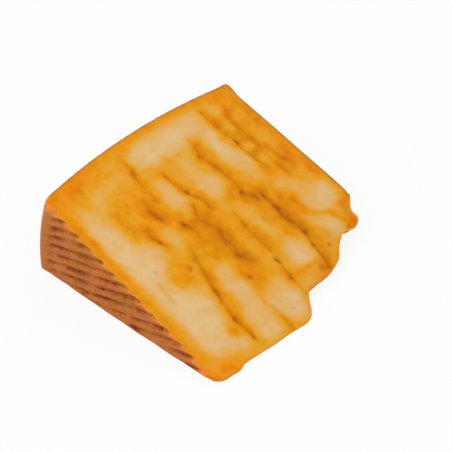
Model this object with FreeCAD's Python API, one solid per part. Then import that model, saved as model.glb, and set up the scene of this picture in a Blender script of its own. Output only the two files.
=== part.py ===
import FreeCAD, Part
import os
from math import asin, ceil, cos, radians, degrees, sin, tan
from FreeCAD import Vector

# A knife-cut wedge from a drum-shaped wheel of sheep's cheese, lying on its lower cut face.
# It is modelled on the wheel's axis, which is the Y axis and the line where the two cuts
# meet. The outer rind lies at -X and the broken tip close to the axis. Last, the wedge
# is moved so that its origin is the centre of its bounding box's bottom.
# All sizes are in millimetres and all angles in degrees.

# the whole wheel
rimRadius = 99.2          # radius where the side meets the two flat ends
barrelBulge = 4.2         # how much further the side stands out at mid height
rimHeight = 101.1         # height of the wheel at its rim
domeRise = 2.5            # how much higher each flat end is at the axis
nearShoulder = 2.8        # rounding between the side and the -Y end
farShoulder = 1.0         # rounding between the side and the +Y end, pressed tighter
beltRows = 12             # rows of the plaited belt that wrapped the side
beltDepth = 0.35          # depth of the seam between two rows

# the piece cut out of it
wedgeAngle = 21.3         # angle between the two knife cuts
breakLean = -8.0          # lean of the broken tip: below 0, its lower edge falls back

# the draining mat's print on the two ends
matPitch = 4.05           # from one ridge to the next
matDepth = 1.1            # depth of the grooves between the ridges
matInset = 0.3            # how far the ridges lie below the shoulders' tops
nearMatTurn = 16.5        # rise of the -Y grooves towards the tip, from the lower cut
farMatTurn = -12.0        # the same for the +Y grooves

# The broken tip's outline, from the +Y end to the -Y end, halfway between the two cuts:
# distance from the wheel's axis, and place along it, where 1 and -1 are the wheel's ends.
breakOutline = [
    (32, 1.05), (27, 0.91), (22, 0.88), (19, 0.80), (19.5, 0.70), (19, 0.62), (15.5, 0.52), (11.5, 0.41),
    (10.5, 0.35), (10.5, 0.12), (7, 0.01), (3.5, -0.04), (2, -0.10), (2.5, -0.33), (4.5, -0.67), (4, -0.78),
    (4, -0.90), (6, -0.97), (10, -1.05),
]

# The widest fissures of the upper cut: distance from the rind, place along the axis
# as above, length, and turn from the direction of the tip towards +Y.
fissures = [
    (51.0, 0.435, 38.0, -2.0),
    (18.0, 0.31, 30.0, 1.0),
    (53.0, 0.115, 38.0, -5.0),
    (22.0, -0.095, 20.0, 13.0),
    (57.0, -0.405, 37.0, -10.0),
]
fissureWidth = 1.1
fissureDepth = 2.2

outerRadius = rimRadius + barrelBulge
shoulderHeight = rimHeight / 2 + matInset
axisHeight = shoulderHeight + domeRise
domeRadius = rimRadius ** 2 / (2 * domeRise)
clearOfWheel = 8.0        # how far cutting shapes reach outside the wheel
sameSpot = 0.01           # two points closer than this are the same


def onWheel(radius, turn, along):
    """Point at a radius, at an angle above the lower cut and at a place along the axis."""
    return Vector(-radius * cos(radians(turn)), along, radius * sin(radians(turn)))


def sideRadius(along):
    return rimRadius + barrelBulge * (1 - (along / shoulderHeight) ** 2)


def drumProfile():
    """Half the wheel's cross-section, with one shallow arc for each row of the belt."""
    rowHeight = 2 * shoulderHeight / beltRows
    middle = rimRadius / 2
    middleHeight = axisHeight - middle ** 2 / (2 * domeRadius)
    seams = []
    for row in range(beltRows + 1):
        along = shoulderHeight - row * rowHeight
        seamDepth = beltDepth if 0 < row < beltRows else 0.0
        seams.append(onWheel(sideRadius(along) - seamDepth, 0, along))
    edges = [Part.Arc(Vector(0, axisHeight, 0), onWheel(middle, 0, middleHeight), seams[0]).toShape()]
    for upper, lower in zip(seams, seams[1:]):
        along = (upper.y + lower.y) / 2
        crown = onWheel(sideRadius(along), 0, along)
        edges.append(Part.Arc(upper, crown, lower).toShape())
    edges.append(Part.Arc(seams[-1], onWheel(middle, 0, -middleHeight), Vector(0, -axisHeight, 0)).toShape())
    edges.append(Part.LineSegment(Vector(0, -axisHeight, 0), Vector(0, axisHeight, 0)).toShape())
    return Part.Face(Part.Wire(edges))


def rimEdges(solid, along):
    """The circular edges where the wheel's side meets one of its ends."""
    found = []
    for edge in solid.Edges:
        ends = [vertex.Point for vertex in edge.Vertexes]
        offHeight = max(abs(end.y - along) for end in ends)
        offRadius = max(abs((end.x ** 2 + end.z ** 2) ** 0.5 - rimRadius) for end in ends)
        if offHeight < sameSpot and offRadius < sameSpot:
            found.append(edge)
    return found


def cutSector():
    """The wedge as cut, before the mat's print and the broken tip."""
    sector = drumProfile().revolve(Vector(0, 0, 0), Vector(0, 1, 0), wedgeAngle)
    sector = sector.makeFillet(nearShoulder, rimEdges(sector, -shoulderHeight))
    return sector.makeFillet(farShoulder, rimEdges(sector, shoulderHeight))


def matPrint(end, turn):
    """What the draining mat pressed away at one end (-1 or +1): parallel rounded grooves
    that follow the end's dome."""
    across = Vector(-sin(radians(turn)), 0, cos(radians(turn)))
    corners = [onWheel(outerRadius, 0, 0).dot(across), onWheel(outerRadius, wedgeAngle, 0).dot(across), 0.0]
    first = min(corners) - matPitch
    ridges = ceil((max(corners) - first) / matPitch) + 1

    def ridgePoint(place, depth):
        crest = rimHeight / 2 + domeRise - place ** 2 / (2 * domeRadius)
        return across * place + Vector(0, end * (crest - depth), 0)

    edges = []
    for ridge in range(ridges):
        left = first + ridge * matPitch
        groove = ridgePoint(left, matDepth)
        nextGroove = ridgePoint(left + matPitch, matDepth)
        edges.append(Part.Arc(groove, ridgePoint(left + matPitch / 2, 0), nextGroove).toShape())
    last = first + ridges * matPitch
    outside = Vector(0, end * (axisHeight + clearOfWheel), 0)
    closing = [ridgePoint(last, matDepth), across * last + outside, across * first + outside,
               ridgePoint(first, matDepth)]
    edges += [Part.LineSegment(a, b).toShape() for a, b in zip(closing, closing[1:])]
    profile = Part.Face(Part.Wire(edges))
    centre = Vector(0, end * (rimHeight / 2 + domeRise - domeRadius), 0)
    swing = degrees(asin((outerRadius + clearOfWheel) / domeRadius))
    profile.rotate(centre, across, -swing)
    return profile.revolve(centre, across, 2 * swing)


def brokenOff():
    """The crumbled tip that is missing, as a leaning prism over the break's outline."""
    middleTurn = wedgeAngle / 2
    tipward = Vector(cos(radians(middleTurn)), 0, -sin(radians(middleTurn)))
    upward = Vector(sin(radians(middleTurn)), 0, cos(radians(middleTurn)))
    reach = breakOutline[0][0]
    down = (tipward * tan(radians(breakLean)) - upward) * reach
    past = clearOfWheel + reach * tan(radians(breakLean))
    places = breakOutline + [(-past, breakOutline[-1][1]), (-past, breakOutline[0][1]), breakOutline[0]]
    corners = [onWheel(back, middleTurn, along * axisHeight) - down for back, along in places]
    return Part.Face(Part.makePolygon(corners)).extrude(down * 2)


def fissure(fromRind, along, length, turn):
    """A sharp-bottomed split that is widest and deepest halfway along the upper cut."""
    tipward = Vector(cos(radians(wedgeAngle)), 0, -sin(radians(wedgeAngle)))
    upward = Vector(sin(radians(wedgeAngle)), 0, cos(radians(wedgeAngle)))
    course = tipward * cos(radians(turn)) + Vector(0, sin(radians(turn)), 0)
    sideways = upward.cross(course)
    start = onWheel(outerRadius - fromRind, wedgeAngle, along * axisHeight) + upward * fissureWidth / 2
    end = start + course * length
    middle = (start + end) / 2
    left = middle + sideways * fissureWidth
    right = middle - sideways * fissureWidth
    bottom = middle - upward * (fissureDepth + fissureWidth / 2)
    sides = [(start, left, bottom), (left, end, bottom), (end, right, bottom), (right, start, bottom),
             (start, right, end, left)]
    faces = [Part.Face(Part.makePolygon(list(side) + [side[0]])) for side in sides]
    split = Part.Solid(Part.Shell(faces))
    if split.Volume < 0:
        split.reverse()
    return split


def cheeseWedge():
    wedge = cutSector()
    for end, turn in ((-1, nearMatTurn), (1, farMatTurn)):
        wedge = wedge.cut(matPrint(end, turn))
    wedge = wedge.cut(brokenOff())
    for split in fissures:
        wedge = wedge.cut(fissure(*split))
    return wedge


wedge = cheeseWedge()
box = wedge.optimalBoundingBox(False, False)
wedge.translate(Vector(-(box.XMin + box.XMax) / 2, -(box.YMin + box.YMax) / 2, -box.ZMin))

os.makedirs("parts", exist_ok=True)
wedge.exportStep("parts/cheese_wedge.step")
print("solids", len(wedge.Solids), "valid", wedge.isValid(), "faces", len(wedge.Faces))
print("box %.2f x %.2f x %.2f mm" % (box.XLength, box.YLength, box.ZLength))
print("volume %.1f cm3" % (wedge.Volume / 1000), "tip edge %.2f mm from the wheel's axis" % -box.XMax)
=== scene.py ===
import bpy
import math
import numpy as np
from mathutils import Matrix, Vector


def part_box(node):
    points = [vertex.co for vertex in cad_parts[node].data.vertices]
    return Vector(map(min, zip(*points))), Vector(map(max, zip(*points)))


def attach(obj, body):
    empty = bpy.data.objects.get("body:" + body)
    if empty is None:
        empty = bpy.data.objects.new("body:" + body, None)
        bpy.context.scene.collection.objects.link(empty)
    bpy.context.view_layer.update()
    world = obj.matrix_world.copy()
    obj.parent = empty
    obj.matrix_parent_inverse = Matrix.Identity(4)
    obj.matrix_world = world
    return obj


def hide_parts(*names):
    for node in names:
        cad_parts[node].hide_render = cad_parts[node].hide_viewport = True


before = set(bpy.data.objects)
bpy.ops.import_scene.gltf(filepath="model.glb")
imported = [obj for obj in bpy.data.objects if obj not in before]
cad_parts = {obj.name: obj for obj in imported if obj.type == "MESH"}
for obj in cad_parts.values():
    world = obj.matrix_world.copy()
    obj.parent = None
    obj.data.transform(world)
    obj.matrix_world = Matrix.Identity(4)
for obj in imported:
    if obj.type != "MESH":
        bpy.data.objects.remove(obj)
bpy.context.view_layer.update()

mm = 0.001

# A wedge of marbled sheep's cheese, lying on its lower cut face. Places on it are given in the
# whole wheel's terms, in millimetres: rho is the distance from the wheel's axis, along is the
# place on that axis, phi the angle above the lower cut, and fromRind is outerRadius - rho.

wheel = {
    "rimRadius": 99.2,      # where the side meets the flat ends
    "barrelBulge": 4.2,     # how much further the side stands out halfway up
    "rimHeight": 101.1,     # height of the wheel at its rim
    "domeRise": 2.5,        # how much higher the ends are at the axis
    "nearShoulder": 2.8,    # rounding between the side and the near end, -Y
    "farShoulder": 1.2,     # the far end, +Y, is pressed tighter
    "lipOut": 0.35,         # thin lip squeezed out along the far rim
    "lipUp": 0.4,
    "lipWidth": 2.4,
    "knifeDrag": 0.3,       # how far the knife drew the rind in along both cuts
    "knifeReach": 1.5,
    "cutTurn": 21.3,        # angle between the two knife cuts, degrees
}
outerRadius = wheel["rimRadius"] + wheel["barrelBulge"]
cutTurn = math.radians(wheel["cutTurn"])
low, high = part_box("cheese_wedge")
axisX = low.x / mm + outerRadius            # the wheel's axis in the frame
axisY = (low.y + high.y) / 2 / mm + 0.1     # the break takes a little more off the far end


# smooth noise over numpy arrays
lattices = np.random.default_rng(11).uniform(-1, 1, (8, 64, 64))


def rise(start, end, value):
    t = np.clip((value - start) / (end - start), 0, 1)
    return t * t * (3 - 2 * t)


def bumps(x, y, size, seed=0):          # smooth random hills, -1 to 1, about size apart
    x, y = np.asarray(x) / size + seed * 7.3, np.asarray(y) / size + seed * 3.1
    i, j = np.floor(x).astype(int), np.floor(y).astype(int)
    u, v = x - i, y - j
    u, v = u * u * (3 - 2 * u), v * v * (3 - 2 * v)
    t = lattices[seed % 8]
    near = t[i % 64, j % 64] * (1 - u) + t[(i + 1) % 64, j % 64] * u
    far = t[i % 64, (j + 1) % 64] * (1 - u) + t[(i + 1) % 64, (j + 1) % 64] * u
    return near * (1 - v) + far * v


def clouds(x, y, size, seed=0):         # three sizes of hills added up
    weights, finer = (1.0, 0.55, 0.3), (1, 2, 4)
    total = sum(bumps(x, y, size / finer[k], seed + k) * weights[k] for k in range(3))
    return total / sum(weights)


def domeHeight(rho):
    return wheel["rimHeight"] / 2 + wheel["domeRise"] * (1 - (rho / wheel["rimRadius"]) ** 2)


def roundOff(distance, radius):         # how far a rounded corner lies inside a sharp one
    d = np.clip(distance, 0, radius)
    return radius - np.sqrt(radius ** 2 - (radius - d) ** 2)


cornerShare = 1 - math.sqrt(0.5)        # where the side and an end meet on the rounding


def cornerAt(shoulder):                 # rho and height of that place
    rho = wheel["rimRadius"] - cornerShare * shoulder
    return rho, domeHeight(rho) - cornerShare * shoulder


belt = {
    "rows": 12,             # rows of the plaited belt round the side
    "seamDepth": 0.3,
    "strandDepth": 0.38,
    "strandPitch": 2.9,     # from one strand of a row to the next
    "slant": 38.0,          # lean of the strands, the other way in every second row
    "rowWander": 0.35,      # how far a row, and a strand in it, strays
    "strandWander": 0.4,
    "kept": 0.25,           # share of the print's depth left along the upper cut
    "smear": 3.5,           # how far down the knife smeared it
}
mat = {
    "pitch": 4.05,          # from one ridge of the mat's print to the next
    "fanFrom": 32.0,        # across the ridges, mm: below this they spread apart towards the tip
    "fan": 0.075,
    "depth": 1.0,
    "nearTurn": 16.5,       # rise of the ridges towards the tip, degrees
    "farTurn": -12.0,
    "nearPhase": 0.0,
    "farPhase": 1.3,
    "wander": 0.45,         # how far a ridge strays sideways
    "plainRim": 8.0,        # the print fades out this near the rim
    "rimBend": 0.0055,      # the ridges steepen towards the rim
    "rimBendReach": 22.0,
    "fibre": 0.12,          # torn grass fibres' marks, as a share of the depth
    "nearKept": 0.7,        # share of the print's depth left along the upper cut
    "farKept": 0.1,
    "nearFlat": 0.42,       # where the smeared surface lies, as a share of the depth
    "farFlat": 0.66,
}


def beltPrint(arc, along):              # depth pressed into the side, 0 on a strand's crown
    rowHeight = wheel["rimHeight"] / belt["rows"]
    place = (along + wheel["rimHeight"] / 2 + belt["rowWander"] * bumps(arc, along, 14, 2)) / rowHeight
    row = np.floor(place)
    inRow = place - row
    seam = np.abs(2 * inRow - 1) ** 4
    lean = np.where(row % 2 > 0.5, 1, -1) * math.tan(math.radians(belt["slant"]))
    across = arc + lean * inRow * rowHeight + belt["strandWander"] * bumps(arc, along, 6, 3)
    strand = np.abs(2 * ((across / belt["strandPitch"]) % 1) - 1) ** 2
    fade = rise(1.5, 6.0, wheel["rimHeight"] / 2 - np.abs(along))
    worn = 0.75 + 0.35 * bumps(arc, along, 9, 5)
    depth = (belt["seamDepth"] * seam + belt["strandDepth"] * strand * (1 - 0.6 * seam)) * fade * worn
    return depth, strand * fade, across


def matPrint(rho, phi, end):            # depth pressed into an end, 0 on a ridge's crown
    turn = math.radians(mat["nearTurn" if end < 0 else "farTurn"])
    x, z = -rho * np.cos(phi), rho * np.sin(phi)
    length = x * math.cos(turn) + z * math.sin(turn)
    reach = np.maximum(mat["rimBendReach"] - (x + outerRadius), 0)
    across = z * math.cos(turn) - x * math.sin(turn) + mat["rimBend"] * reach ** 2
    across = across + mat["wander"] * bumps(length, across, 17, 1) + 0.18 * bumps(length, across, 4.5, 4)
    across = across + mat["fan"] * np.maximum(mat["fanFrom"] - across, 0)
    place = across / mat["pitch"] + mat["nearPhase" if end < 0 else "farPhase"]
    offCrown = np.abs(2 * (place % 1) - 1)
    # each groove is deeper in some places than in others, and its walls are rough from the fibres
    groove = offCrown ** 1.7 * (0.85 + 0.3 * bumps(length, np.floor(place) * 5, 7, 6))
    groove += mat["fibre"] * (bumps(length, across * 2.2, 1.7, 2) + 0.6 * bumps(length, across, 1.1, 5))
    printed = rise(3.0, mat["plainRim"], wheel["rimRadius"] - rho)
    # the knife smeared the print flat along both cuts, most of all at the far end
    pressed = 0.3 + 0.7 * rise(0.3, 2.5, rho * phi)
    kept = mat["nearKept" if end < 0 else "farKept"]
    pressed = pressed * (kept + (1 - kept) * rise(0.5, 5.0, rho * (cutTurn - phi)))
    flat = mat["nearFlat" if end < 0 else "farFlat"]
    depth = mat["depth"] * printed * (groove * pressed + flat * (1 - pressed))
    return depth, groove * printed, length, across


brokenTip = {
    # places on the upper edge from the near end to the far end: rho, along, and how far the lower
    # edge lies back there
    "outline": [
        (10.5, -52.5, 0), (7, -52, 0), (4.5, -49.5, 0.3), (4, -45.5, 0.3), (3.5, -42, 0.3), (4.5, -38, 0.3),
        (4, -32, 0.2), (3, -24, 0.2), (2.5, -16, 0.2), (1.5, -7, 0.1), (3, -3, 0.4), (7, 0.5, 1),
        (10, 3.5, 1.5), (11, 8, 1), (11, 18, 1), (12.5, 24, 1.5), (17, 30, 4), (20, 36, 6.5),
        (19.5, 39.5, 5.5), (19, 43, 4), (21, 46.5, 2), (25, 47, 1.5), (28, 49.5, 1), (31, 53, 0.5),
    ],
    "crumble": 0.35,        # how rough it is
}


def smoothRun(places, steps):           # a smooth curve through given places
    ends = np.concatenate([[2 * places[0] - places[1]], places, [2 * places[-1] - places[-2]]])
    before, start, stop, after = (ends[i:len(ends) - 3 + i, None] for i in range(4))
    t = (np.arange(steps) / steps)[None, :, None]
    curve = start + 0.5 * t * (stop - before + t * (2 * before - 5 * start + 4 * stop - after
                                                    + t * (3 * (start - stop) + after - before)))
    return np.concatenate([curve.reshape(-1, places.shape[1]), places[-1:]])


tipLine = smoothRun(np.array(brokenTip["outline"], float), 8)
tipReach = np.concatenate([[0], np.cumsum(np.hypot(*np.diff(tipLine[:, :2], axis=0).T))])


def tipCurve(share):                    # rho, along and foot at shares 0 to 1 of the line's length
    return [np.interp(share * tipReach[-1], tipReach, tipLine[:, i]) for i in range(3)]


# the two cut faces: marbling, cracks and pits, as (fromRind, along) in millimetres
cutFace = {
    # stains laid over each other like a brush: fromRind, along, half length to the tip, half width,
    # turn, depth (0 cream, 0.5 gold, 0.75 amber, 1 brown), strength
    "stains": [
        # the amber strip along the far end
        (30, 41, 25, 11, 0, 0.69, 0.95), (24, 48, 14, 2, 0, 0.72, 0.6), (44, 48, 6, 2.5, 0, 0.66, 0.8),
        (19.5, 43.5, 4, 3, 0, 0.52, 0.8), (31, 44, 5, 3, 0, 0.48, 0.8), (22, 35, 4, 1.8, 0, 0.46, 0.7),
        (32.5, 34.5, 2.5, 3, 0, 0.38, 0.8), (39, 37, 4, 4.5, 0, 0.45, 0.7),
        (10.5, 36, 3.5, 3.5, 0, 0.4, 0.7), (53, 34, 5, 5, 0, 0.35, 0.8), (53, 45, 4, 3.5, 0, 0.42, 0.7),
        (14.5, 41, 2.2, 4, 10, 0.78, 0.8), (26, 38.4, 11, 1.4, 0, 0.78, 0.8),
        (25.5, 35, 1.8, 3.2, 0, 0.74, 0.7), (35.5, 35.5, 1.8, 3.2, 0, 0.76, 0.7),
        (18, 31, 9, 1.6, 2, 0.72, 0.8), (32, 31.5, 10, 1.3, 3, 0.76, 0.8),
        (40, 42, 8, 1.3, 14, 0.76, 0.7), (49, 38.7, 6, 1.3, 0, 0.8, 0.7),
        # from the rind to the middle, far half: cream with gold between
        (11, 10, 6, 19, 4, 0.05, 1.0), (26, 26, 16, 4.2, 3, 0.1, 0.95), (37, 28, 7, 3.5, 0, 0.12, 0.9),
        (44, 27, 4, 5, 0, 0.45, 0.6), (24, 17, 9, 3.6, 0, 0.6, 1.0), (26, 15.4, 8, 2.4, 0, 0.74, 0.8),
        (37, 17, 10, 3.5, 0, 0.6, 0.9), (45.5, 15, 3.5, 6, 0, 0.7, 0.8), (46, 10, 6, 4, 0, 0.6, 0.8),
        (49, 22, 5, 3, 20, 0.66, 0.7), (50.5, 18.5, 3, 2.5, 0, 0.86, 0.85),
        (37, 8, 5, 5.5, 0, 0.1, 0.95), (25, 7, 7, 4.5, 0, 0.28, 0.9), (29, 10, 1.5, 3, 0, 0.5, 0.6),
        (51.5, 11, 4, 3, 0, 0.32, 0.7), (18.5, 7, 1.5, 5, 0, 0.45, 0.6), (22, 1, 6, 3, 0, 0.55, 0.8),
        # from the middle to the tip, far half
        (65.5, 43.5, 6, 8.5, -12, 0.08, 1.0), (64, 31.5, 7, 4, 0, 0.68, 0.85),
        (71.5, 35, 5, 1.5, 50, 0.72, 0.8), (79, 40, 6, 1.5, 22, 0.7, 0.85),
        (65, 36.5, 5, 3.5, 0, 0.2, 0.8), (58, 37, 6, 3.5, 0, 0.3, 0.8), (56, 44, 4, 3.5, 0, 0.42, 0.6),
        (54, 48.5, 6, 2.5, 0, 0.66, 0.7), (74, 48.5, 1.8, 5, -25, 0.64, 0.9),
        (78.5, 44, 4, 3, -30, 0.56, 0.9), (83, 44.5, 1.5, 3, -30, 0.68, 0.9),
        (79, 35.5, 5, 3.5, 20, 0.12, 0.95), (73, 32, 4, 3, 30, 0.25, 0.8),
        (71, 28.5, 3, 2, 0, 0.3, 0.7), (86, 27, 5.5, 8, 30, 0.42, 0.95), (87, 21, 5, 2.5, 0, 0.62, 0.8),
        (64.5, 28.5, 3, 3, 0, 0.76, 0.8), (59, 30, 5, 3, 0, 0.66, 0.8),
        (67, 26, 17, 2.4, -3, 0.74, 0.75), (62, 22.5, 14, 2.5, 0, 0.76, 0.85),
        (80, 22.5, 9, 2.2, -4, 0.72, 0.8), (71, 18, 6, 3.2, 0, 0.66, 0.9),
        (58, 17, 7, 3.5, 0, 0.64, 0.8), (51, 15, 2.5, 4, 0, 0.8, 0.7), (78.5, 14, 6, 6, 0, 0.08, 1.0),
        (66, 12, 4, 3.5, 0, 0.36, 0.8), (57, 11, 5, 2.5, 0, 0.32, 0.7),
        (88.5, 16.5, 3.5, 4, 0, 0.72, 0.8), (88, 9, 4, 8, 0, 0.46, 0.9),
        (85.3, 10, 1.2, 6, 0, 0.64, 0.7), (90, 5, 3, 6, 0, 0.38, 0.7), (67, 8, 6, 2, 0, 0.6, 0.8),
        # from the rind to the middle, near half
        (10.5, -4, 5, 7, 0, 0.05, 1.0), (20, -7, 4, 4, 0, 0.5, 0.8), (32, -8.5, 7.5, 4, -3, 0.12, 0.95),
        (28, -3.6, 8, 1.8, 0, 0.68, 0.8), (45, -2, 7, 3, 0, 0.56, 0.7), (37, 1, 5, 2, 0, 0.66, 0.6),
        (48, -9, 8, 5, 0, 0.74, 0.9), (56, -6, 9, 4.5, 0, 0.8, 0.9), (44, -14, 3, 4, 0, 0.76, 0.8),
        (40, -14, 4, 3, 0, 0.55, 0.7), (17, -13.8, 9, 2, -5, 0.68, 0.85), (30, -21, 9, 6, 0, 0.7, 0.95),
        (35.5, -20, 3, 1.7, 0, 0.8, 0.8), (24, -17, 5, 2.5, 0, 0.62, 0.7),
        (28, -31, 9, 7, 0, 0.62, 1.0), (28, -28, 3.5, 4, 0, 0.5, 0.6),
        (13.5, -27, 2.5, 9, 8, 0.34, 0.8), (17, -34, 3, 4, 30, 0.34, 0.7),
        (40, -28.3, 5, 2.4, 0, 0.7, 0.8), (46, -22.5, 5.5, 2.8, 0, 0.3, 0.85),
        (37, -42, 17, 5.5, 0, 0.06, 1.0), (48, -36, 8, 6, 0, 0.1, 0.95), (24, -38, 5, 3, 0, 0.3, 0.6),
        (7, -41, 6, 12, 8, 0.66, 0.85),
        # from the middle to the tip, near half
        (62, -7, 9, 4, 0, 0.76, 0.8), (67, -5.5, 3, 3, 0, 0.84, 0.7), (57, -13, 7, 5, 0, 0.72, 0.9),
        (54, -18, 6, 4, 0, 0.68, 0.8), (75, -8, 8, 6.5, 0, 0.67, 0.95),
        (91, -6.5, 9, 6.5, 0, 0.07, 0.95), (78, -18, 13, 3.8, -3, 0.08, 0.95),
        (92, -21, 8, 5, 0, 0.14, 0.95), (100, -14, 2, 9, 0, 0.48, 0.8),
        (68, -24.5, 12, 2.2, -12, 0.66, 0.85), (85, -28.6, 8, 2.6, 0, 0.74, 0.85),
        (85, -31.5, 4.5, 3, -10, 0.7, 0.9), (61, -32, 8, 3.9, -16, 0.62, 1.0),
        (76, -38, 11, 8.5, 0, 0.0, 1.0), (62, -42, 14, 4.5, 0, 0.02, 1.0),
        (89, -36, 6, 7, 10, 0.14, 0.9), (98.5, -34, 3, 9, 0, 0.5, 0.8),
        (97.5, -45, 3.5, 6, 0, 0.67, 0.9), (28, -49.6, 22, 1.8, 0, 0.72, 0.8),
        (86.5, -33, 3, 2.2, 0, 0.68, 0.85), (81.5, 35, 4, 3, 25, 0.1, 0.9),
        (24, 29.4, 8, 1.2, 2, 0.62, 0.7), (84, -42, 7, 4.5, 0, 0.04, 0.9),
    ],
    # where the gold turns to a warmer orange: the same numbers, with the last two as warmth and strength
    "warmth": [
        (8, 44, 6, 6, 0, 0.6, 0.8), (30, 48, 22, 3.5, 0, 0.45, 0.8), (45, 47, 8, 4, 0, 0.7, 0.8),
        (15, 41, 3, 4, 0, 0.6, 0.7), (35, 36, 4, 5, 0, 0.4, 0.6), (13, 31, 5, 2, 0, 0.6, 0.7),
        (54, 48, 6, 4, 0, 0.7, 0.8), (74, 48, 2.5, 6, -25, 0.9, 0.9), (83, 44.5, 2, 4, -30, 1.0, 1.0),
        (64.5, 28, 3, 3, 0, 0.7, 0.8), (27, 16, 8, 3, 0, 0.5, 0.7), (46, 15, 4, 5, 0, 0.5, 0.6),
        (71, 18, 6, 3, 0, 0.5, 0.7), (88, 16, 4, 4, 0, 0.6, 0.7), (85.5, 9, 1.5, 6, 0, 0.6, 0.7),
        (30, -21, 10, 6, 0, 0.6, 0.8), (44, -14, 3, 3, 0, 0.8, 0.8), (36, -20, 4, 3, 0, 0.7, 0.7),
        (28, -5, 8, 2, 0, 0.5, 0.7), (75, -9, 7, 5, 0, 0.6, 0.8), (43, -28, 5, 3, 0, 0.6, 0.7),
        (5, -38, 5, 13, 0, 0.9, 0.9), (10, -46, 8, 4, 0, 0.7, 0.8), (28, -49.6, 24, 2, 0, 0.6, 0.8),
        (85, -29, 8, 4, 0, 0.5, 0.7), (98, -28, 5, 14, 0, 0.0, 0.8), (97, -46, 6, 5, 0, 1.0, 1.0),
        (98, -36, 3, 6, 0, 0.3, 0.6), (60, -49, 45, 2.5, 0, 0.35, 0.6), (57, -27, 3, 2, 0, 0.6, 0.6),
    ],
    # cracks: strength, then the places they run through
    "cracks": [
        (0.9, [(51, 22.3), (54, 21.6), (57, 22.4), (60, 22.4), (63, 21.3), (66, 21.6), (69, 23.4),
               (73, 23.2), (76, 22.4), (80, 21.4), (85, 20.6), (90, 20.2)]),
        (0.5, [(20, 16.0), (24, 14.6), (29, 16.2), (34, 16.9), (40, 16.7), (44, 16.5), (46.5, 15.7)]),
        (0.4, [(47, 17.5), (50, 18.8), (53, 19.0)]),
        (0.4, [(9, 30.5), (18, 30.8), (24, 31.5), (28, 32.1), (33, 31.2), (38, 32.4), (43, 33.6)]),
        (0.12, [(12, 42), (16, 39.4), (20, 38.4), (28, 38.4), (36, 38.6), (44, 38.3), (52, 38.7)]),
        (0.12, [(36, 40.5), (42, 42.4), (47, 43.8), (53, 46)]),
        (0.1, [(60, 31), (67, 31.4), (70, 34.4), (74, 37.6), (79, 39.8), (84, 41.4)]),
        (0.5, [(51, 6), (58, 5.2), (66, 5.0), (72, 4.8), (76, 4.0), (81, 3.2), (86, 2.6), (93, 2.5)]),
        (0.5, [(22, -4.4), (27, -4.2), (31, -2.8), (34, -2.3), (37, -1.2), (40, 0.4), (44, 0.2)]),
        (0.45, [(39, -5), (45, -7.6), (49, -6.2), (52, -4.6), (56, -6.4), (61, -7.2), (66, -6.6),
                (70, -5)]),
        (0.35, [(9, -13.2), (14, -13.6), (18, -14.8), (24, -15.0), (30, -14.7)]),
        (0.5, [(31, -20.6), (34, -20.6), (37.5, -19.6)]),
        (0.4, [(42, -14.8), (44, -14.2), (47, -12.8), (51, -13.3)]),
        (0.4, [(37, -28.4), (41, -29), (44, -27.8), (48, -26.4)]),
        (0.6, [(55, -21.0), (60, -22.4), (66, -24.4), (71, -25.7), (77, -27.2), (83, -28.6),
               (89, -28.5), (95, -28.2)]),
        (0.4, [(86, -13.8), (91, -12.9), (96, -13), (102, -13.6)]),
        (0.18, [(56, -41), (60, -41.6), (65, -42.2)]),
    ],
    # pits and dark specks: fromRind, along, radius, strength
    "pits": [
        (27.7, 32.2, 1.4, 1.0), (24, 14.6, 1.0, 0.7), (46, 15.6, 1.0, 0.8), (59, 22.4, 1.8, 0.8),
        (74, 23.1, 1.3, 0.9), (50.5, 18.7, 1.8, 0.6), (60.5, 13.7, 1.3, 0.35), (33.7, -2.4, 1.1, 1.0),
        (43.7, -14.3, 1.1, 0.9), (36, -20, 1.2, 0.9), (44, -27.9, 1.2, 0.8), (66, -6.6, 1.4, 0.7),
        (74.8, -10.2, 1.3, 1.0), (76, 4.0, 1.5, 0.7), (85, 2.8, 0.9, 0.7), (71.5, -25.9, 1.2, 0.7),
        (84, -28.8, 1.5, 0.75), (58.6, -26.8, 1.1, 0.9), (52, -38.5, 0.9, 0.4), (74.5, -36, 1.0, 0.25),
        (83.5, 28, 1.0, 0.7), (89, 17, 1.6, 0.7), (94, -6.7, 0.9, 0.25), (54, -5, 2.2, 0.35),
        (19, 7.5, 1.0, 0.25), (47, -6.8, 1.0, 0.4), (17, 39, 1.5, 0.4), (35.5, 33, 1.2, 0.3),
        (93.5, -28.4, 0.9, 0.5), (80, 21.6, 1.0, 0.6), (52, 22, 1.2, 0.6), (25.5, 34, 0.8, 0.3),
        (65, 26.5, 0.9, 0.3), (88, 30, 0.7, 0.4),
    ],
    "crackWidth": 0.5,
    "crackDepth": 0.28,
    "pitDepth": 0.35,
    "stainReach": 1.9,      # how far the amber spreads beside a crack
    "rimReach": 6.0,        # width of the orange rim along the edges
    "skinWidth": 0.7,       # the rind's own thickness shows as a thin line
    "waves": 0.1,           # the knife left the face in low waves, with finer ones on them
    "ripples": 0.05,
    "lowerShift": 5.0,      # the lower cut's marbling is the upper one's, turned over and shifted about
    # how the face rolls down to the broken tip: place along, reach and fall
    "roll": [(-53, 3, 0.3), (-30, 2.5, 0.2), (-8, 2.5, 0.15), (0, 4, 0.8), (6, 5, 1.0), (13, 8, 1.3),
             (20, 11, 1.7), (27, 12, 2.0), (32, 9, 1.7), (37, 5, 1.2), (43, 6, 2.0), (48, 6, 2.2),
             (53, 3, 1.0)],
}


def brush(under, fromRind, along, strokes, soft):
    for place, height, halfLength, halfWidth, turn, value, strength in strokes:
        c, s = math.cos(math.radians(turn)), math.sin(math.radians(turn))
        dx, dy = fromRind - place, along - height
        off = np.hypot((dx * c + dy * s) / halfLength, (dy * c - dx * s) / halfWidth)
        under = under + (value - under) * strength * (1 - rise(1 - soft, 1 + soft, off))
    return under


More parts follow.
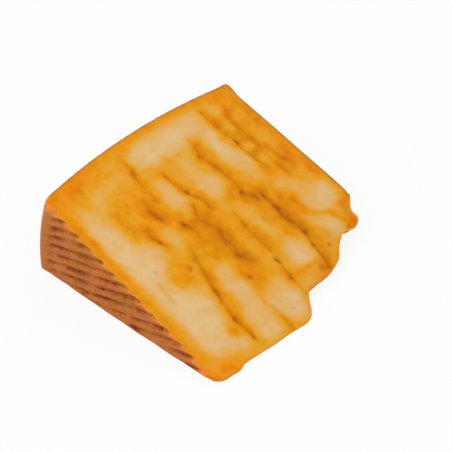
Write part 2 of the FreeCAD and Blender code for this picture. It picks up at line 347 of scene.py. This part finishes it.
def offLine(fromRind, along, places):   # distance to a run of straight stretches
    nearest = np.full(fromRind.shape, 99.0)
    for (ax, ay), (bx, by) in zip(places, places[1:]):
        dx, dy = bx - ax, by - ay
        t = np.clip(((fromRind - ax) * dx + (along - ay) * dy) / (dx * dx + dy * dy), 0, 1)
        nearest = np.minimum(nearest, np.hypot(fromRind - ax - t * dx, along - ay - t * dy))
    return nearest


def cutMarks(fromRind, along):          # crack, its amber surroundings, pit; each 0 to 1
    x = fromRind + 0.4 * bumps(fromRind, along, 2.5, 3)
    y = along + 0.4 * bumps(fromRind, along, 2.2, 5) + 0.15 * bumps(fromRind, along, 0.9, 6)
    crack, halo, pit = (np.zeros_like(x) for _ in range(3))
    # a crack opens and closes along its run
    opened = 0.62 + 0.5 * bumps(fromRind, along, 2.4, 7) + 0.3 * bumps(fromRind, along, 1.0, 2)
    opened = np.clip(opened, 0.08, 1)
    soaked = 0.8 + 0.5 * bumps(fromRind, along, 5.0, 1)
    for strength, places in cutFace["cracks"]:
        off = offLine(x, y, places)
        crack = np.maximum(crack, strength * opened * np.exp(-(off / cutFace["crackWidth"]) ** 2))
        halo = np.maximum(halo, strength ** 0.6 * soaked * np.exp(-off / cutFace["stainReach"]))
    for place, height, radius, strength in cutFace["pits"]:
        off = np.hypot(x - place, (y - height) * 1.25)
        pit = np.maximum(pit, strength * np.exp(-(off / radius) ** 2))
    return crack, halo, pit


def cutStain(fromRind, along, halo, offRim):    # how deep the stain is and how warm, 0 to 1
    x = fromRind + 1.3 * clouds(fromRind, along, 8, 1) + 0.8 * clouds(fromRind, along, 3.2, 4)
    y = along + 1.3 * clouds(fromRind, along, 7, 2) + 0.8 * clouds(fromRind, along, 2.8, 6)
    rim = 1 - rise(0.3, cutFace["rimReach"], offRim + 1.6 * clouds(fromRind, along, 6, 7))
    warm = 0.22 + 0.25 * clouds(fromRind, along, 12, 2) + 0.3 * clouds(fromRind, along, 4.5, 5) + 0.25 * rim
    warm = brush(warm, x, y, cutFace["warmth"], 0.6)
    stain = brush(0.52, x, y, cutFace["stains"], 0.6) + 0.15 * clouds(fromRind, along, 5, 6)
    stain += (0.67 - stain) * rim * 0.8
    stain += (0.92 - stain) * np.clip(halo, 0, 1)
    return stain, warm


# the mesh is one closed skin over a block of cells: a towards the tip, b along the axis, c up
cells = {
    "a": 168,
    "b": 174,
    "c": 58,
    "edge": 0.55,           # how much finer the cells are at the edges
}


def spread(count):                      # shares 0 to 1, closer together at both ends
    t = np.linspace(0, 1, count + 1)
    return t - cells["edge"] * np.sin(2 * math.pi * t) / (2 * math.pi) * 0.5


shareA, shareB, shareC = spread(cells["a"]), spread(cells["b"]), spread(cells["c"])


def outlineAt(share):                   # the wedge's four sides at a share of its height
    phi = cutTurn * share
    nearCorner, farCorner = cornerAt(wheel["nearShoulder"]), cornerAt(wheel["farShoulder"])

    along = -nearCorner[1] + (nearCorner[1] + farCorner[1]) * shareB
    shoulder = np.where(along < 0, wheel["nearShoulder"], wheel["farShoulder"])
    rho = wheel["rimRadius"] + wheel["barrelBulge"] * (1 - (2 * along / wheel["rimHeight"]) ** 2)
    rho = np.maximum(rho, wheel["rimRadius"])
    rho -= roundOff(domeHeight(wheel["rimRadius"]) - np.abs(along), shoulder)
    rho += wheel["lipOut"] * np.exp(-((farCorner[1] - 0.8 - along) / wheel["lipWidth"]) ** 2)
    depth, strand, plaitAcross = beltPrint(rho * phi, along)
    # the knife smeared the plait's print by the upper cut
    fromUpper, fromLower = rho * (cutTurn - phi), rho * phi
    depth = depth * (belt["kept"] + (1 - belt["kept"]) * rise(0.3, belt["smear"], fromUpper))
    drag = np.exp(-(fromUpper / wheel["knifeReach"]) ** 2) + np.exp(-(fromLower / wheel["knifeReach"]) ** 2)
    rind = np.stack([rho - wheel["knifeDrag"] * drag - depth, along], 1)

    tipRho, tipAlong, foot = tipCurve(shareB)
    rough = brokenTip["crumble"] * rise(2, 12, tipRho)
    tipRho = tipRho + foot * (1 - share) + rough * clouds(tipAlong, tipRho * phi * 2.2, 3.5, 2)
    tip = np.stack([tipRho, tipAlong], 1)

    def end(sign, corner, shoulder, rindEnd, tipEnd):
        rho = rindEnd[0] + (tipEnd[0] - rindEnd[0]) * shareA
        pressed, groove, length, across = matPrint(rho, phi, sign)
        height = domeHeight(rho) - roundOff(corner[0] + cornerShare * shoulder - rho, shoulder) - pressed
        if sign > 0:
            offLip = wheel["rimRadius"] - 1.5 - rho
            height = height + wheel["lipUp"] * np.exp(-(offLip / wheel["lipWidth"]) ** 2)
        edge = np.stack([rho, sign * height], 1)
        edge[0] = rindEnd
        return edge, groove, length, across

    near = end(-1, nearCorner, wheel["nearShoulder"], rind[0], tip[0])
    far = end(1, farCorner, wheel["farShoulder"], rind[-1], tip[-1])
    tip[0], tip[-1] = near[0][-1], far[0][-1]
    # each side's edge, and what its print leaves there: groove, place along a strand and across it
    return {"near": near, "far": far, "rind": (rind, strand, plaitAcross, plaitAcross), "tip": (tip,)}


def fillBetween(near, far, rind, tip):  # a smooth sheet of points between four edges
    a, b = shareA[:, None, None], shareB[None, :, None]
    across = (1 - a) * rind[None] + a * tip[None]
    lengthwise = (1 - b) * near[:, None] + b * far[:, None]
    corners = (1 - a) * ((1 - b) * rind[0] + b * rind[-1]) + a * ((1 - b) * tip[0] + b * tip[-1])
    return across + lengthwise - corners


def offEdge(points, edge):              # distance from each point to the nearest place of an edge
    flat = points.reshape(-1, 2)
    nearest = np.empty(len(flat))
    for start in range(0, len(flat), 4000):
        part = flat[start:start + 4000, None] - edge[None]
        nearest[start:start + 4000] = np.sqrt((part ** 2).sum(2)).min(1)
    return nearest.reshape(points.shape[:2])


paintedGlowRun = {              # the painted glow of light through the rind at the upper cut runs on down the near end
    "byTip": 4.0,           # how much further it reaches by the tip
    "byTipFrom": 23.0,      # from this rho in to the next
    "byTipTo": 11.0,
    "byRim": 1.5,           # and by the rim
    "byRimReach": 14.0,
    "cornerReach": 4.5,     # the painted glow covers the rim's corner all the way down
}


# what the materials read at each point
shownValues = ("stain", "warm", "crack", "skin", "groove", "strand", "blade", "offCut")


def buildSkin():
    na, nb, nc = cells["a"], cells["b"], cells["c"]
    number = np.full((na + 1, nb + 1, nc + 1), -1)
    hull = np.zeros(number.shape, bool)
    hull[[0, -1]] = hull[:, [0, -1]] = hull[:, :, [0, -1]] = True
    number[hull] = np.arange(hull.sum())
    count = hull.sum()
    rho, along, phi = np.zeros(count), np.zeros(count), np.zeros(count)
    value = {name: np.zeros(count) for name in shownValues + ("offEdges", "sunk")}

    for k, share in enumerate(shareC):
        sides = outlineAt(share)
        places = {"near": number[:, 0, k], "far": number[:, -1, k],
                  "rind": number[0, :, k], "tip": number[-1, :, k]}
        for side in ("tip", "near", "far", "rind"):
            edge, at = sides[side][0], places[side]
            rho[at], along[at], phi[at] = edge[:, 0], edge[:, 1], cutTurn * share
            if side != "tip":
                value["groove"][at], value["strand"][at], value["blade"][at] = sides[side][1:]
        if k in (0, nc):
            rindLoop = np.concatenate([sides[side][0] for side in ("near", "far", "rind")])
            sheet = fillBetween(*(sides[side][0] for side in ("near", "far", "rind", "tip")))
            offRind, offTip = offEdge(sheet, rindLoop), offEdge(sheet, sides["tip"][0])
            at = number[:, :, k]
            rho[at], along[at], phi[at] = sheet[:, :, 0], sheet[:, :, 1], cutTurn * share
            fromRind, height = outerRadius - sheet[:, :, 0], sheet[:, :, 1]
            if k == 0:
                fromRind = fromRind + cutFace["lowerShift"] * bumps(fromRind, height, 30, 4)
                height = 4 - height
            crack, halo, pit = cutMarks(fromRind, height)
            inner = rise(0.4, 2.5, np.minimum(offRind, offTip))
            rolls = np.array(cutFace["roll"])
            reach = np.interp(height, rolls[:, 0], rolls[:, 1])
            fall = np.interp(height, rolls[:, 0], rolls[:, 2]) * (0.35 if k == 0 else 1)
            sunk = cutFace["crackDepth"] * crack + cutFace["pitDepth"] * pit
            sunk += cutFace["waves"] * (1 + clouds(fromRind, height, 11, 3))
            sunk += cutFace["ripples"] * (1 + clouds(fromRind, height, 2.6, 5))
            sunk = sunk * inner + fall * (1 - rise(0, 1, offTip / reach)) ** 1.4
            thick = sheet[:, :, 0] * cutTurn
            value["sunk"][at] = np.minimum(sunk, 0.4 * thick)
            value["crack"][at] = np.clip(0.85 * crack + 0.8 * pit, 0, 1) * rise(0.2, 1.5, offRind)
            offRim = np.minimum(offRind, 6 * offTip)        # the orange rim is narrow along the break
            value["stain"][at], value["warm"][at] = cutStain(fromRind, height, halo, offRim)
            value["offEdges"][at] = np.minimum(offRind, offTip)
            offSkin = offEdge(sheet, np.concatenate([sides["far"][0], sides["rind"][0][8:]]))
            value["skin"][at] = np.exp(-(offSkin / cutFace["skinWidth"]) ** 2) * rise(1, 6, offTip)
    # the broken tip is oiled gold right through, and orange by the near end
    tipSkin = number[-1, :, 1:-1]
    height = rho[tipSkin] * phi[tipSkin]
    byEnd = rise(-36, -48, along[tipSkin])
    value["stain"][tipSkin] = 0.5 + 0.25 * clouds(along[tipSkin], height, 6, 6) + 0.15 * byEnd
    value["warm"][tipSkin] = 0.4 + 0.35 * clouds(along[tipSkin], height, 8, 2) + 0.6 * byEnd
    sideSkin = np.unique(np.concatenate([number[:, 0].ravel(), number[:, -1].ravel(), number[0].ravel()]))
    value["offCut"][sideSkin] = 9           # too far from the cut for its painted glow
    nearSkin = number[1:, 0].ravel()
    nearRho = rho[nearSkin]
    fromRim = wheel["rimRadius"] - nearRho
    tails = paintedGlowRun["byTip"] * rise(paintedGlowRun["byTipFrom"], paintedGlowRun["byTipTo"], nearRho)
    tails += paintedGlowRun["byRim"] * rise(paintedGlowRun["byRimReach"], 0, fromRim)
    offUpper = nearRho * (cutTurn - phi[nearSkin]) - tails
    corner = rise(paintedGlowRun["cornerReach"], 1, fromRim)
    atCorner = np.minimum(offUpper, 0.6 + 0.06 * offUpper)
    value["offCut"][nearSkin] = offUpper + (atCorner - offUpper) * corner
    inside = number[:, :, 1:-1][number[:, :, 1:-1] >= 0]
    value["offEdges"][inside] = rho[inside] * np.minimum(phi[inside], cutTurn - phi[inside])

    points = np.stack([-rho * np.cos(phi), along, rho * np.sin(phi)], 1)
    up = np.array([math.sin(cutTurn), 0, math.cos(cutTurn)])
    top, bottom = number[:, :, -1].ravel(), number[:, :, 0].ravel()
    points[top] -= up * value["sunk"][top][:, None]
    points[bottom, 2] += value["sunk"][bottom]

    def quads(p, q, r, s):
        return np.stack([p.ravel(), q.ravel(), r.ravel(), s.ravel()], 1)

    def sheetFaces(n, turned):
        corners = (n[:-1, :-1], n[1:, :-1], n[1:, 1:], n[:-1, 1:])
        return quads(*(corners[::-1] if turned else corners))

    cut = np.concatenate([sheetFaces(number[:, :, -1], False), sheetFaces(number[:, :, 0], True)])
    broken = sheetFaces(number[-1], False)
    rind = np.concatenate([sheetFaces(number[:, 0], False), sheetFaces(number[:, -1], True),
                           sheetFaces(number[0], True)])
    return points, [cut, broken, rind], value


wear = {                    # the sharp edges are worn round
    "pull": 0.4,            # how far a point on an edge drifts towards its neighbours
    "reach": 0.7,
    "rounds": 2,
}


def soften(points, faces, weight, rounds):
    pairs = np.concatenate([faces[:, [0, 1]], faces[:, [1, 2]], faces[:, [2, 3]], faces[:, [3, 0]]])
    pairs = np.unique(np.sort(pairs, 1), axis=0)
    near, far = pairs[:, 0], pairs[:, 1]
    degree = np.bincount(pairs.ravel(), minlength=len(points))[:, None]
    for _ in range(rounds):
        total = np.stack([np.bincount(near, points[far, i], len(points))
                          + np.bincount(far, points[near, i], len(points)) for i in range(3)], 1)
        points = points + (total / degree - points) * weight[:, None]
    return points


def makeWedge(materials):
    points, groups, value = buildSkin()
    faces = np.concatenate(groups)
    weight = wear["pull"] * np.exp(-(value["offEdges"] / wear["reach"]) ** 2) * rise(1.0, 6.0, -points[:, 0])
    points = soften(points, faces, weight, wear["rounds"])
    points[:, 2] = np.maximum(points[:, 2], 0)
    points = (points + [axisX, axisY, 0]) * mm
    mesh = bpy.data.meshes.new("cheeseWedge")
    mesh.from_pydata(points.tolist(), [], faces.tolist())
    for name in shownValues:
        layer = mesh.attributes.new(name, "FLOAT", "POINT")
        layer.data.foreach_set("value", value[name].astype(np.float32))
    for material in materials:
        mesh.materials.append(material)
    isRind = np.repeat([0, 0, 1], [len(group) for group in groups])
    mesh.polygons.foreach_set("material_index", isRind.astype(np.int32))
    mesh.shade_smooth()
    mesh.update()
    wedge = bpy.data.objects.new("cheeseWedge", mesh)
    bpy.context.scene.collection.objects.link(wedge)
    print("wedge", len(points), "points", len(faces), "quads")
    return wedge


def linear(code):                       # an sRGB hex colour as linear light
    parts = [int(code[i:i + 2], 16) / 255 for i in (0, 2, 4)]
    return [p / 12.92 if p <= 0.04045 else ((p + 0.055) / 1.055) ** 2.4 for p in parts] + [1.0]


def addNode(tree, kind, inputs=None, **settings):       # an input that is a node links its first output
    made = tree.nodes.new(kind)
    for name, value in settings.items():
        setattr(made, name, value)
    for name, value in (inputs or {}).items():
        socket = made.inputs[name]
        if isinstance(value, bpy.types.Node):
            value = value.outputs[0]
        if isinstance(value, bpy.types.NodeSocket):
            tree.links.new(value, socket)
        else:
            socket.default_value = value
    return made


def fillRamp(made, stops):              # stops are (place, hex colour)
    elements = made.color_ramp.elements
    while len(elements) > 1:
        elements.remove(elements[0])
    for number, (place, value) in enumerate(stops):
        stop = elements[0] if number == 0 else elements.new(place)
        stop.position = place
        stop.color = linear(value)
    return made.outputs["Color"]


def newMaterial(name):
    material = bpy.data.materials.new(name)
    material.use_nodes = True
    material.node_tree.nodes.clear()
    return material, material.node_tree


paste = {
    # pressed sheep's milk paste: cream where it's dense, oiled gold and amber round its cracks
    "golds": [(0.0, "E0BD86"), (0.12, "E0B676"), (0.32, "E1AC54"), (0.46, "E2A534"), (0.6, "E29D10"),
              (0.7, "DC9000"), (0.8, "D08000"), (0.9, "BE6A00"), (1.0, "9E5000")],
    "oranges": [(0.0, "E1B278"), (0.12, "E2AA66"), (0.32, "E5A244"), (0.46, "E89828"), (0.6, "EC8C08"),
                (0.7, "E67E00"), (0.8, "D47200"), (0.9, "BE5E00"), (1.0, "9E4800")],
    "crackColour": "A04E00",
    "skinColour": "94672C",
    "mottle": 3.2,          # size of the soft mottling, mm
    "mottleShare": 0.3,     # how much it deepens a stain
    "grain": 0.9,           # curd grain, mm
    "grainShare": 0.08,
    "grainHeight": 0.04,
    "skinShare": 1.5,
    "roughness": 0.45,      # oiled, but the oil has soaked in, so little of it shines
    "dullShare": 0.16,      # how much the roughness varies with the grain
    "ior": 1.45,            # milk fat
    "shine": 0.08,
    "glow": 0.12,           # light that goes in and comes out again
    "glowReach": 2.5,       # how far it goes, mm
    "glowSpread": (1.0, 0.55, 0.25),
}


def makePaste():
    material, tree = newMaterial("marbledSheepPaste")
    place = addNode(tree, "ShaderNodeTexCoord").outputs["Object"]
    stain, warm, crack, skin = (addNode(tree, "ShaderNodeAttribute", attribute_name=name).outputs["Fac"]
                                for name in ("stain", "warm", "crack", "skin"))
    mottle = addNode(tree, "ShaderNodeTexNoise", {
        "Vector": place, "Scale": 1 / (paste["mottle"] * mm), "Detail": 3.0, "Roughness": 0.55})
    grain = addNode(tree, "ShaderNodeTexNoise", {
        "Vector": place, "Scale": 1 / (paste["grain"] * mm), "Detail": 2.0, "Roughness": 0.6})
    # both patterns average a half, so they are centred before they shift the stain
    shift = addNode(tree, "ShaderNodeMath", {
        0: mottle, 1: paste["mottleShare"], 2: -paste["mottleShare"] / 2}, operation="MULTIPLY_ADD")
    fine = addNode(tree, "ShaderNodeMath", {
        0: grain, 1: paste["grainShare"], 2: -paste["grainShare"] / 2}, operation="MULTIPLY_ADD")
    both = addNode(tree, "ShaderNodeMath", {0: shift, 1: fine}, operation="ADD")
    total = addNode(tree, "ShaderNodeMath", {0: stain, 1: both}, operation="ADD", use_clamp=True)
    gold = fillRamp(addNode(tree, "ShaderNodeValToRGB", {"Fac": total}), paste["golds"])
    orange = fillRamp(addNode(tree, "ShaderNodeValToRGB", {"Fac": total}), paste["oranges"])
    # the colour sockets of a Mix node have to be picked by place
    marbled = addNode(tree, "ShaderNodeMix", {0: warm, 6: gold, 7: orange}, data_type="RGBA").outputs[2]
    cracked = addNode(tree, "ShaderNodeMix", {0: crack, 6: marbled, 7: linear(paste["crackColour"])},
                      data_type="RGBA").outputs[2]
    # the rind's skin is broken up by the mottling
    lined = addNode(tree, "ShaderNodeMath", {0: skin, 1: mottle}, operation="MULTIPLY")
    lined = addNode(tree, "ShaderNodeMath", {0: lined, 1: paste["skinShare"]}, operation="MULTIPLY",
                    use_clamp=True)
    edged = addNode(tree, "ShaderNodeMix", {0: lined, 6: cracked, 7: linear(paste["skinColour"])},
                    data_type="RGBA").outputs[2]
    height = addNode(tree, "ShaderNodeMath", {0: grain, 1: mottle}, operation="ADD")
    bump = addNode(tree, "ShaderNodeBump", {
        "Height": height, "Distance": paste["grainHeight"] * mm, "Strength": 1.0})
    dull = addNode(tree, "ShaderNodeMath", {
        0: grain, 1: paste["dullShare"], 2: paste["roughness"] - paste["dullShare"] / 2},
        operation="MULTIPLY_ADD")
    shaded = addNode(tree, "ShaderNodeBsdfPrincipled", {
        "Base Color": edged, "Roughness": dull, "IOR": paste["ior"], "Specular IOR Level": paste["shine"],
        "Normal": bump, "Subsurface Weight": paste["glow"], "Subsurface Radius": paste["glowSpread"],
        "Subsurface Scale": paste["glowReach"] * mm})
    addNode(tree, "ShaderNodeOutputMaterial", {"Surface": shaded})
    print("paste made")
    return material


rindLook = {
    # washed and oiled rind, printed by a plaited grass mat: brown
    "prints": [(0.0, "CC7834"), (0.25, "C26A26"), (0.5, "AE5812"), (0.75, "944206"), (1.0, "762C02")],
    "tanColour": "AE7228",      # where the washing took the brown off
    "bloomColour": "AC6A4A",    # a thin bloom of mould left between, pinkish over the brown
    "paintedGlowColour": "EE8E30",     # painted glow: light coming through the thin rind at the upper cut, painted in as orange
    "tick": 0.85,               # spacing of the grass fibres' marks across a ridge, mm
    "tickShare": 0.32,          # how much each pattern darkens the print
    "bladeWidth": 1.3,          # streaks that the grass blades left along the ridges
    "bladeLength": 8.0,
    "bladeShare": 1.3,
    "patch": 7.0,               # darker and lighter places
    "patchShare": 0.9,
    "crumb": 1.5,               # crumbs of dry bloom
    "crumbShare": 0.8,
    "lighter": 1.46,            # taken off so that the patterns average out
    "tan": 11.0,                # size of the washed and bloomed places
    "grain": 0.7,
    "tickWander": 5.0,          # how much the grain bends the fibres' marks
    "edgeReach": 3.0,
    "edgeFray": 4.0,            # how much crumbs and grooves fray the painted glow at the edge
    "edgeGroove": 3.0,
    "roughness": 0.55,
    "dullShare": 0.2,
    "ior": 1.45,
    "shine": 0.15,
    "grainHeight": 0.12,
}


def makeRind():
    material, tree = newMaterial("matPrintedRind")
    place = addNode(tree, "ShaderNodeTexCoord").outputs["Object"]
    groove, strand, blade, offCut = (addNode(tree, "ShaderNodeAttribute", attribute_name=name).outputs["Fac"]
                                     for name in ("groove", "strand", "blade", "offCut"))
    patch, tan, grain, crumb = (addNode(tree, "ShaderNodeTexNoise", {
        "Vector": place, "Scale": 1 / (rindLook[name] * mm), "Detail": detail, "Roughness": roughness})
        for name, detail, roughness in (("patch", 3.0, 0.6), ("tan", 2.0, 0.5), ("grain", 2.0, 0.6),
                                        ("crumb", 2.0, 0.7)))
    # the fibres' marks are fine ticks across each ridge
    turn = addNode(tree, "ShaderNodeMath", {0: strand, 1: 2 * math.pi / rindLook["tick"]},
                   operation="MULTIPLY")
    turn = addNode(tree, "ShaderNodeMath", {0: grain, 1: rindLook["tickWander"], 2: turn},
                   operation="MULTIPLY_ADD")
    tick = addNode(tree, "ShaderNodeMath", {0: turn}, operation="SINE")
    # and the blades left long streaks along it
    alongBlade = addNode(tree, "ShaderNodeMath", {0: strand, 1: rindLook["bladeLength"]}, operation="DIVIDE")
    acrossBlade = addNode(tree, "ShaderNodeMath", {0: blade, 1: rindLook["bladeWidth"]}, operation="DIVIDE")
    onBlade = addNode(tree, "ShaderNodeCombineXYZ", {"X": alongBlade, "Y": acrossBlade})
    streak = addNode(tree, "ShaderNodeTexNoise", {
        "Vector": onBlade, "Scale": 1.0, "Detail": 2.0, "Roughness": 0.5})
    # the print is darker the deeper its groove, more in some places than in others
    dark = addNode(tree, "ShaderNodeMapRange", {
        "Value": patch, "From Min": 0.32, "From Max": 0.68, "To Min": 0.4, "To Max": 1.5})
    total = addNode(tree, "ShaderNodeMath", {0: groove, 1: dark, 2: -rindLook["lighter"]},
                    operation="MULTIPLY_ADD")
    for pattern, share in ((tick, "tickShare"), (patch, "patchShare"), (crumb, "crumbShare"),
                           (streak, "bladeShare")):
        total = addNode(tree, "ShaderNodeMath", {0: pattern, 1: rindLook[share], 2: total},
                        operation="MULTIPLY_ADD")
    colour = fillRamp(addNode(tree, "ShaderNodeValToRGB", {"Fac": total}), rindLook["prints"])
    washed = addNode(tree, "ShaderNodeMapRange", {
        "Value": tan, "From Min": 0.45, "From Max": 0.7, "To Min": 0.0, "To Max": 0.7})
    browned = addNode(tree, "ShaderNodeMix", {0: washed, 6: colour, 7: linear(rindLook["tanColour"])},
                      data_type="RGBA").outputs[2]
    # the bloom stays on the crowns, not in the dark prints
    bloomed = addNode(tree, "ShaderNodeMapRange", {
        "Value": tan, "From Min": 0.3, "From Max": 0.5, "To Min": 0.5, "To Max": 0.0})
    crown = addNode(tree, "ShaderNodeMath", {0: groove, 1: -0.9, 2: 1.0}, operation="MULTIPLY_ADD")
    bloomed = addNode(tree, "ShaderNodeMath", {0: bloomed, 1: crown}, operation="MULTIPLY")
    browned = addNode(tree, "ShaderNodeMix", {0: bloomed, 6: browned, 7: linear(rindLook["bloomColour"])},
                      data_type="RGBA").outputs[2]
    # painted glow of light through the rind frays out where the rind meets the upper cut, strongest on the
    # ridges' crowns
    fray = addNode(tree, "ShaderNodeMath", {0: groove, 1: rindLook["edgeGroove"], 2: offCut},
                   operation="MULTIPLY_ADD")
    fray = addNode(tree, "ShaderNodeMath", {0: crumb, 1: rindLook["edgeFray"], 2: fray},
                   operation="MULTIPLY_ADD")
    paintedGlowShare = addNode(tree, "ShaderNodeMapRange", {
        "Value": fray, "From Min": 2.0, "From Max": 2.0 + rindLook["edgeReach"],
        "To Min": 1.0, "To Max": 0.0})
    edge = addNode(tree, "ShaderNodeMix", {0: paintedGlowShare, 6: browned, 7: linear(rindLook["paintedGlowColour"])},
                   data_type="RGBA").outputs[2]
    height = addNode(tree, "ShaderNodeMath", {0: tick, 1: 0.5, 2: grain}, operation="MULTIPLY_ADD")
    height = addNode(tree, "ShaderNodeMath", {0: height, 1: crumb}, operation="ADD")
    bump = addNode(tree, "ShaderNodeBump", {
        "Height": height, "Strength": 1.0, "Distance": rindLook["grainHeight"] * mm})
    dull = addNode(tree, "ShaderNodeMath", {
        0: grain, 1: rindLook["dullShare"], 2: rindLook["roughness"] - rindLook["dullShare"] / 2},
        operation="MULTIPLY_ADD")
    skin = addNode(tree, "ShaderNodeBsdfPrincipled", {
        "Base Color": edge, "Roughness": dull, "IOR": rindLook["ior"],
        "Specular IOR Level": rindLook["shine"], "Normal": bump})
    addNode(tree, "ShaderNodeOutputMaterial", {"Surface": skin})
    print("rind made")
    return material


wedge = makeWedge([makePaste(), makeRind()])
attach(wedge, "root")
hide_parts("cheese_wedge")

studio = {
    "floor": 3.0,               # side of the floor, metres
    "floorGlow": 0.88,          # share of plain white the camera sees in it; the rest takes the shadow
    "meltFrom": 0.15,           # further off than this it melts into the room, metres
    "meltTo": 0.7,
    "world": 0.67,
    # lamps: name, place, side and power; all face the wedge
    "lamps": [("keyLamp", (-0.25, -0.35, 0.75), 0.6, 2.3), ("fillLamp", (0.6, -0.55, 0.45), 0.8, 1.5),
              ("backLamp", (0.1, 0.7, 0.6), 0.7, 0.5)],
}


def makeRoom():                         # the world: plain white where it's seen or mirrored
    world = bpy.data.worlds.new("paleRoom")
    bpy.context.scene.world = world
    world.use_nodes = True
    tree = world.node_tree
    tree.nodes.clear()
    seen = addNode(tree, "ShaderNodeLightPath").outputs
    direct = addNode(tree, "ShaderNodeMath", {0: seen["Is Camera Ray"], 1: seen["Is Glossy Ray"]},
                     operation="ADD")
    white = addNode(tree, "ShaderNodeMath", {0: direct, 1: seen["Is Transmission Ray"]}, operation="ADD",
                    use_clamp=True)
    strength = addNode(tree, "ShaderNodeMapRange", {
        "Value": white, "To Min": studio["world"], "To Max": 1.0})
    room = addNode(tree, "ShaderNodeBackground", {"Color": (1, 1, 1, 1), "Strength": strength})
    addNode(tree, "ShaderNodeOutputWorld", {"Surface": room})


def makeFloor():
    material, tree = newMaterial("whiteTable")
    seen = addNode(tree, "ShaderNodeLightPath").outputs
    place = addNode(tree, "ShaderNodeTexCoord").outputs["Object"]
    away = addNode(tree, "ShaderNodeVectorMath", {0: place}, operation="LENGTH").outputs["Value"]
    plain = addNode(tree, "ShaderNodeMapRange", {
        "Value": away, "From Min": studio["meltFrom"], "From Max": studio["meltTo"],
        "To Min": studio["floorGlow"], "To Max": 1.0})
    share = addNode(tree, "ShaderNodeMath", {0: seen["Is Camera Ray"], 1: plain}, operation="MULTIPLY")
    paint = addNode(tree, "ShaderNodeBsdfDiffuse", {"Color": (0.92, 0.92, 0.92, 1)})
    glow = addNode(tree, "ShaderNodeEmission", {"Color": (1, 1, 1, 1), "Strength": 1.0})
    mixed = addNode(tree, "ShaderNodeMixShader", {0: share, 1: paint, 2: glow})
    addNode(tree, "ShaderNodeOutputMaterial", {"Surface": mixed})
    half = studio["floor"] / 2
    corners = [(-half, -half, 0), (half, -half, 0), (half, half, 0), (-half, half, 0)]
    mesh = bpy.data.meshes.new("table")
    mesh.from_pydata(corners, [], [(0, 1, 2, 3)])
    mesh.materials.append(material)
    floor = bpy.data.objects.new("table", mesh)
    bpy.context.scene.collection.objects.link(floor)


def makeLamps():
    for name, place, side, power in studio["lamps"]:
        data = bpy.data.lights.new(name, "AREA")
        data.size = side
        data.energy = power
        lamp = bpy.data.objects.new(name, data)
        lamp.location = place
        lamp.rotation_euler = (Vector((0, 0, 0.02)) - Vector(place)).to_track_quat("-Z", "Y").to_euler()
        bpy.context.scene.collection.objects.link(lamp)


view = {
    "azimuth": 41.45,
    "elevation": 39.4,
    "distance": 0.5709,
    "aim": (-49.1, 1.56, 15.0),     # from the wheel's axis, mm
    "lens": 119.47,
}


def makeCamera():
    data = bpy.data.cameras.new("camera")
    data.lens = view["lens"]
    data.sensor_width = 36
    data.clip_start, data.clip_end = 0.01, 10
    a, e = math.radians(view["azimuth"]), math.radians(view["elevation"])
    back = Vector((math.sin(a) * math.cos(e), -math.cos(a) * math.cos(e), math.sin(e)))
    camera = bpy.data.objects.new("camera", data)
    aim = (Vector(view["aim"]) + Vector((axisX, axisY, 0))) * mm
    camera.location = aim + back * view["distance"]
    camera.rotation_euler = (-back).to_track_quat("-Z", "Y").to_euler()
    bpy.context.scene.collection.objects.link(camera)
    bpy.context.scene.camera = camera


makeRoom()
makeFloor()
makeLamps()
makeCamera()
bpy.context.scene.view_settings.view_transform = "Standard"
print("studio and camera placed")
